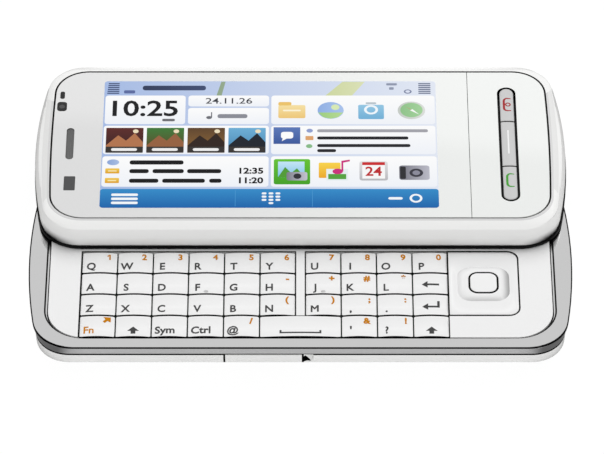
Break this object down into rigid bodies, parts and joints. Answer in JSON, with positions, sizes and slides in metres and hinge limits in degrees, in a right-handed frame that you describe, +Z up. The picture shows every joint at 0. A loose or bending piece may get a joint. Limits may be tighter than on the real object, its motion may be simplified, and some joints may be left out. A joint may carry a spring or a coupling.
{
  "type": "slider phone",
  "caption": "Side-sliding mobile phone, shown open: display half on rails over a keyboard half with letter keys, navigation pad and curved cover.",
  "frame": {"origin": "middle of the flat underside of the lower half", "axes": "+X along the phone towards the call keys, +Y the way the upper half slides open, +Z up through the display"},
  "size_m": [0.1134, 0.082, 0.0169],
  "materials": {
    "rim_metal": "satin",
    "white_gloss": "gloss",
    "key_white": "gloss",
    "key_grey": "satin",
    "black_plastic": "satin",
    "pane_white": "gloss",
    "display": "gloss",
    "slide_black": "satin",
    "rail_steel": "satin",
    "board": "matte",
    "battery_can": "matte",
    "side_key": "polished"
  },
  "bodies": {
    "base": {"chassis_frame": "rim_metal", "keypad_deck": "white_gloss", "battery_cover": "white_gloss", "main_board": "board", "battery": "battery_can", "rear_camera": "black_plastic", "slide_rails": "rail_steel"},
    "slider": {"upper_housing": "white_gloss", "front_window": "pane_white", "front_inserts": "black_plastic", "display_module": "display", "slide_plate": "slide_black"},
    "navigation_key": {"navigation_key": "white_gloss"},
    "select_key": {"select_key": "key_white"},
    "volume_key": {"volume_key": "side_key"},
    "camera_key": {"camera_key": "side_key"},
    "power_key": {"power_key": "side_key"},
    "card_door": {"card_door": "white_gloss"},
    "call_key": {"call_key": "key_grey"},
    "menu_key": {"menu_key": "key_grey"},
    "end_key": {"end_key": "key_grey"},
    "key_q": {"key_q": "key_white"},
    "key_w": {"key_w": "key_white"},
    "key_e": {"key_e": "key_white"},
    "key_r": {"key_r": "key_white"},
    "key_t": {"key_t": "key_white"},
    "key_y": {"key_y": "key_white"},
    "key_u": {"key_u": "key_white"},
    "key_i": {"key_i": "key_white"},
    "key_o": {"key_o": "key_white"},
    "key_p": {"key_p": "key_white"},
    "key_a": {"key_a": "key_white"},
    "key_s": {"key_s": "key_white"},
    "key_d": {"key_d": "key_white"},
    "key_f": {"key_f": "key_white"},
    "key_g": {"key_g": "key_white"},
    "key_h": {"key_h": "key_white"},
    "key_j": {"key_j": "key_white"},
    "key_k": {"key_k": "key_white"},
    "key_l": {"key_l": "key_white"},
    "key_backspace": {"key_backspace": "key_white"},
    "key_z": {"key_z": "key_white"},
    "key_x": {"key_x": "key_white"},
    "key_c": {"key_c": "key_white"},
    "key_v": {"key_v": "key_white"},
    "key_b": {"key_b": "key_white"},
    "key_n": {"key_n": "key_white"},
    "key_m": {"key_m": "key_white"},
    "key_comma": {"key_comma": "key_white"},
    "key_period": {"key_period": "key_white"},
    "key_enter": {"key_enter": "key_white"},
    "key_fn": {"key_fn": "key_white"},
    "key_shift_left": {"key_shift_left": "key_white"},
    "key_sym": {"key_sym": "key_white"},
    "key_ctrl": {"key_ctrl": "key_white"},
    "key_at": {"key_at": "key_white"},
    "key_space": {"key_space": "key_white"},
    "key_apostrophe": {"key_apostrophe": "key_white"},
    "key_question": {"key_question": "key_white"},
    "key_shift_right": {"key_shift_right": "key_white"}
  },
  "joints": [
    {"name": "slider_slide", "type": "slide", "parent": "base", "child": "slider", "axis": [0, 1, 0], "range_m": [-0.029, 0]},
    {"name": "press_q", "type": "slide", "parent": "base", "child": "key_q", "axis": [0, 0, -1], "range_m": [0, 0.0003], "stiffness_N_per_m": 400, "springref_m": -0.0001},
    {"name": "press_w", "type": "slide", "parent": "base", "child": "key_w", "axis": [0, 0, -1], "range_m": [0, 0.0003], "stiffness_N_per_m": 400, "springref_m": -0.0001},
    {"name": "press_e", "type": "slide", "parent": "base", "child": "key_e", "axis": [0, 0, -1], "range_m": [0, 0.0003], "stiffness_N_per_m": 400, "springref_m": -0.0001},
    {"name": "press_r", "type": "slide", "parent": "base", "child": "key_r", "axis": [0, 0, -1], "range_m": [0, 0.0003], "stiffness_N_per_m": 400, "springref_m": -0.0001},
    {"name": "press_t", "type": "slide", "parent": "base", "child": "key_t", "axis": [0, 0, -1], "range_m": [0, 0.0003], "stiffness_N_per_m": 400, "springref_m": -0.0001},
    {"name": "press_y", "type": "slide", "parent": "base", "child": "key_y", "axis": [0, 0, -1], "range_m": [0, 0.0003], "stiffness_N_per_m": 400, "springref_m": -0.0001},
    {"name": "press_u", "type": "slide", "parent": "base", "child": "key_u", "axis": [0, 0, -1], "range_m": [0, 0.0003], "stiffness_N_per_m": 400, "springref_m": -0.0001},
    {"name": "press_i", "type": "slide", "parent": "base", "child": "key_i", "axis": [0, 0, -1], "range_m": [0, 0.0003], "stiffness_N_per_m": 400, "springref_m": -0.0001},
    {"name": "press_o", "type": "slide", "parent": "base", "child": "key_o", "axis": [0, 0, -1], "range_m": [0, 0.0003], "stiffness_N_per_m": 400, "springref_m": -0.0001},
    {"name": "press_p", "type": "slide", "parent": "base", "child": "key_p", "axis": [0, 0, -1], "range_m": [0, 0.0003], "stiffness_N_per_m": 400, "springref_m": -0.0001},
    {"name": "press_a", "type": "slide", "parent": "base", "child": "key_a", "axis": [0, 0, -1], "range_m": [0, 0.0003], "stiffness_N_per_m": 400, "springref_m": -0.0001},
    {"name": "press_s", "type": "slide", "parent": "base", "child": "key_s", "axis": [0, 0, -1], "range_m": [0, 0.0003], "stiffness_N_per_m": 400, "springref_m": -0.0001},
    {"name": "press_d", "type": "slide", "parent": "base", "child": "key_d", "axis": [0, 0, -1], "range_m": [0, 0.0003], "stiffness_N_per_m": 400, "springref_m": -0.0001},
    {"name": "press_f", "type": "slide", "parent": "base", "child": "key_f", "axis": [0, 0, -1], "range_m": [0, 0.0003], "stiffness_N_per_m": 400, "springref_m": -0.0001},
    {"name": "press_g", "type": "slide", "parent": "base", "child": "key_g", "axis": [0, 0, -1], "range_m": [0, 0.0003], "stiffness_N_per_m": 400, "springref_m": -0.0001},
    {"name": "press_h", "type": "slide", "parent": "base", "child": "key_h", "axis": [0, 0, -1], "range_m": [0, 0.0003], "stiffness_N_per_m": 400, "springref_m": -0.0001},
    {"name": "press_j", "type": "slide", "parent": "base", "child": "key_j", "axis": [0, 0, -1], "range_m": [0, 0.0003], "stiffness_N_per_m": 400, "springref_m": -0.0001},
    {"name": "press_k", "type": "slide", "parent": "base", "child": "key_k", "axis": [0, 0, -1], "range_m": [0, 0.0003], "stiffness_N_per_m": 400, "springref_m": -0.0001},
    {"name": "press_l", "type": "slide", "parent": "base", "child": "key_l", "axis": [0, 0, -1], "range_m": [0, 0.0003], "stiffness_N_per_m": 400, "springref_m": -0.0001},
    {"name": "press_backspace", "type": "slide", "parent": "base", "child": "key_backspace", "axis": [0, 0, -1], "range_m": [0, 0.0003], "stiffness_N_per_m": 400, "springref_m": -0.0001},
    {"name": "press_z", "type": "slide", "parent": "base", "child": "key_z", "axis": [0, 0, -1], "range_m": [0, 0.0003], "stiffness_N_per_m": 400, "springref_m": -0.0001},
    {"name": "press_x", "type": "slide", "parent": "base", "child": "key_x", "axis": [0, 0, -1], "range_m": [0, 0.0003], "stiffness_N_per_m": 400, "springref_m": -0.0001},
    {"name": "press_c", "type": "slide", "parent": "base", "child": "key_c", "axis": [0, 0, -1], "range_m": [0, 0.0003], "stiffness_N_per_m": 400, "springref_m": -0.0001},
    {"name": "press_v", "type": "slide", "parent": "base", "child": "key_v", "axis": [0, 0, -1], "range_m": [0, 0.0003], "stiffness_N_per_m": 400, "springref_m": -0.0001},
    {"name": "press_b", "type": "slide", "parent": "base", "child": "key_b", "axis": [0, 0, -1], "range_m": [0, 0.0003], "stiffness_N_per_m": 400, "springref_m": -0.0001},
    {"name": "press_n", "type": "slide", "parent": "base", "child": "key_n", "axis": [0, 0, -1], "range_m": [0, 0.0003], "stiffness_N_per_m": 400, "springref_m": -0.0001},
    {"name": "press_m", "type": "slide", "parent": "base", "child": "key_m", "axis": [0, 0, -1], "range_m": [0, 0.0003], "stiffness_N_per_m": 400, "springref_m": -0.0001},
    {"name": "press_comma", "type": "slide", "parent": "base", "child": "key_comma", "axis": [0, 0, -1], "range_m": [0, 0.0003], "stiffness_N_per_m": 400, "springref_m": -0.0001},
    {"name": "press_period", "type": "slide", "parent": "base", "child": "key_period", "axis": [0, 0, -1], "range_m": [0, 0.0003], "stiffness_N_per_m": 400, "springref_m": -0.0001},
    {"name": "press_enter", "type": "slide", "parent": "base", "child": "key_enter", "axis": [0, 0, -1], "range_m": [0, 0.0003], "stiffness_N_per_m": 400, "springref_m": -0.0001},
    {"name": "press_fn", "type": "slide", "parent": "base", "child": "key_fn", "axis": [0, 0, -1], "range_m": [0, 0.0003], "stiffness_N_per_m": 400, "springref_m": -0.0001},
    {"name": "press_shift_left", "type": "slide", "parent": "base", "child": "key_shift_left", "axis": [0, 0, -1], "range_m": [0, 0.0003], "stiffness_N_per_m": 400, "springref_m": -0.0001},
    {"name": "press_sym", "type": "slide", "parent": "base", "child": "key_sym", "axis": [0, 0, -1], "range_m": [0, 0.0003], "stiffness_N_per_m": 400, "springref_m": -0.0001},
    {"name": "press_ctrl", "type": "slide", "parent": "base", "child": "key_ctrl", "axis": [0, 0, -1], "range_m": [0, 0.0003], "stiffness_N_per_m": 400, "springref_m": -0.0001},
    {"name": "press_at", "type": "slide", "parent": "base", "child": "key_at", "axis": [0, 0, -1], "range_m": [0, 0.0003], "stiffness_N_per_m": 400, "springref_m": -0.0001},
    {"name": "press_space", "type": "slide", "parent": "base", "child": "key_space", "axis": [0, 0, -1], "range_m": [0, 0.0003], "stiffness_N_per_m": 400, "springref_m": -0.0001},
    {"name": "press_apostrophe", "type": "slide", "parent": "base", "child": "key_apostrophe", "axis": [0, 0, -1], "range_m": [0, 0.0003], "stiffness_N_per_m": 400, "springref_m": -0.0001},
    {"name": "press_question", "type": "slide", "parent": "base", "child": "key_question", "axis": [0, 0, -1], "range_m": [0, 0.0003], "stiffness_N_per_m": 400, "springref_m": -0.0001},
    {"name": "press_shift_right", "type": "slide", "parent": "base", "child": "key_shift_right", "axis": [0, 0, -1], "range_m": [0, 0.0003], "stiffness_N_per_m": 400, "springref_m": -0.0001},
    {"name": "navigation_tilt", "type": "hinge", "parent": "base", "child": "navigation_key", "pos_m": [0.0381, -0.00755, 0.01005], "axis": [0, 1, 0], "range_deg": [-1.2, 1.2], "stiffness_Nm_per_rad": 0.02},
    {"name": "select_key_press", "type": "slide", "parent": "base", "child": "select_key", "axis": [0, 0, -1], "range_m": [0, 0.0003], "stiffness_N_per_m": 400, "springref_m": -0.0001},
    {"name": "volume_key_press", "type": "slide", "parent": "base", "child": "volume_key", "axis": [0, -1, 0], "range_m": [0, 0.0003], "stiffness_N_per_m": 400, "springref_m": -0.0001},
    {"name": "camera_key_press", "type": "slide", "parent": "base", "child": "camera_key", "axis": [0, -1, 0], "range_m": [0, 0.0003], "stiffness_N_per_m": 400, "springref_m": -0.0001},
    {"name": "power_key_press", "type": "slide", "parent": "base", "child": "power_key", "axis": [1, 0, 0], "range_m": [0, 0.0003], "stiffness_N_per_m": 400, "springref_m": -0.0001},
    {"name": "call_key_press", "type": "slide", "parent": "slider", "child": "call_key", "axis": [0, 0, -1], "range_m": [0, 0.00025], "stiffness_N_per_m": 400, "springref_m": -0.0001},
    {"name": "menu_key_press", "type": "slide", "parent": "slider", "child": "menu_key", "axis": [0, 0, -1], "range_m": [0, 0.00025], "stiffness_N_per_m": 400, "springref_m": -0.0001},
    {"name": "end_key_press", "type": "slide", "parent": "slider", "child": "end_key", "axis": [0, 0, -1], "range_m": [0, 0.00025], "stiffness_N_per_m": 400, "springref_m": -0.0001},
    {"name": "card_door_hinge", "type": "hinge", "parent": "base", "child": "card_door", "pos_m": [-0.0076, -0.02305, 0.00306], "axis": [1, 0, 0], "range_deg": [0, 70]}
  ]
}
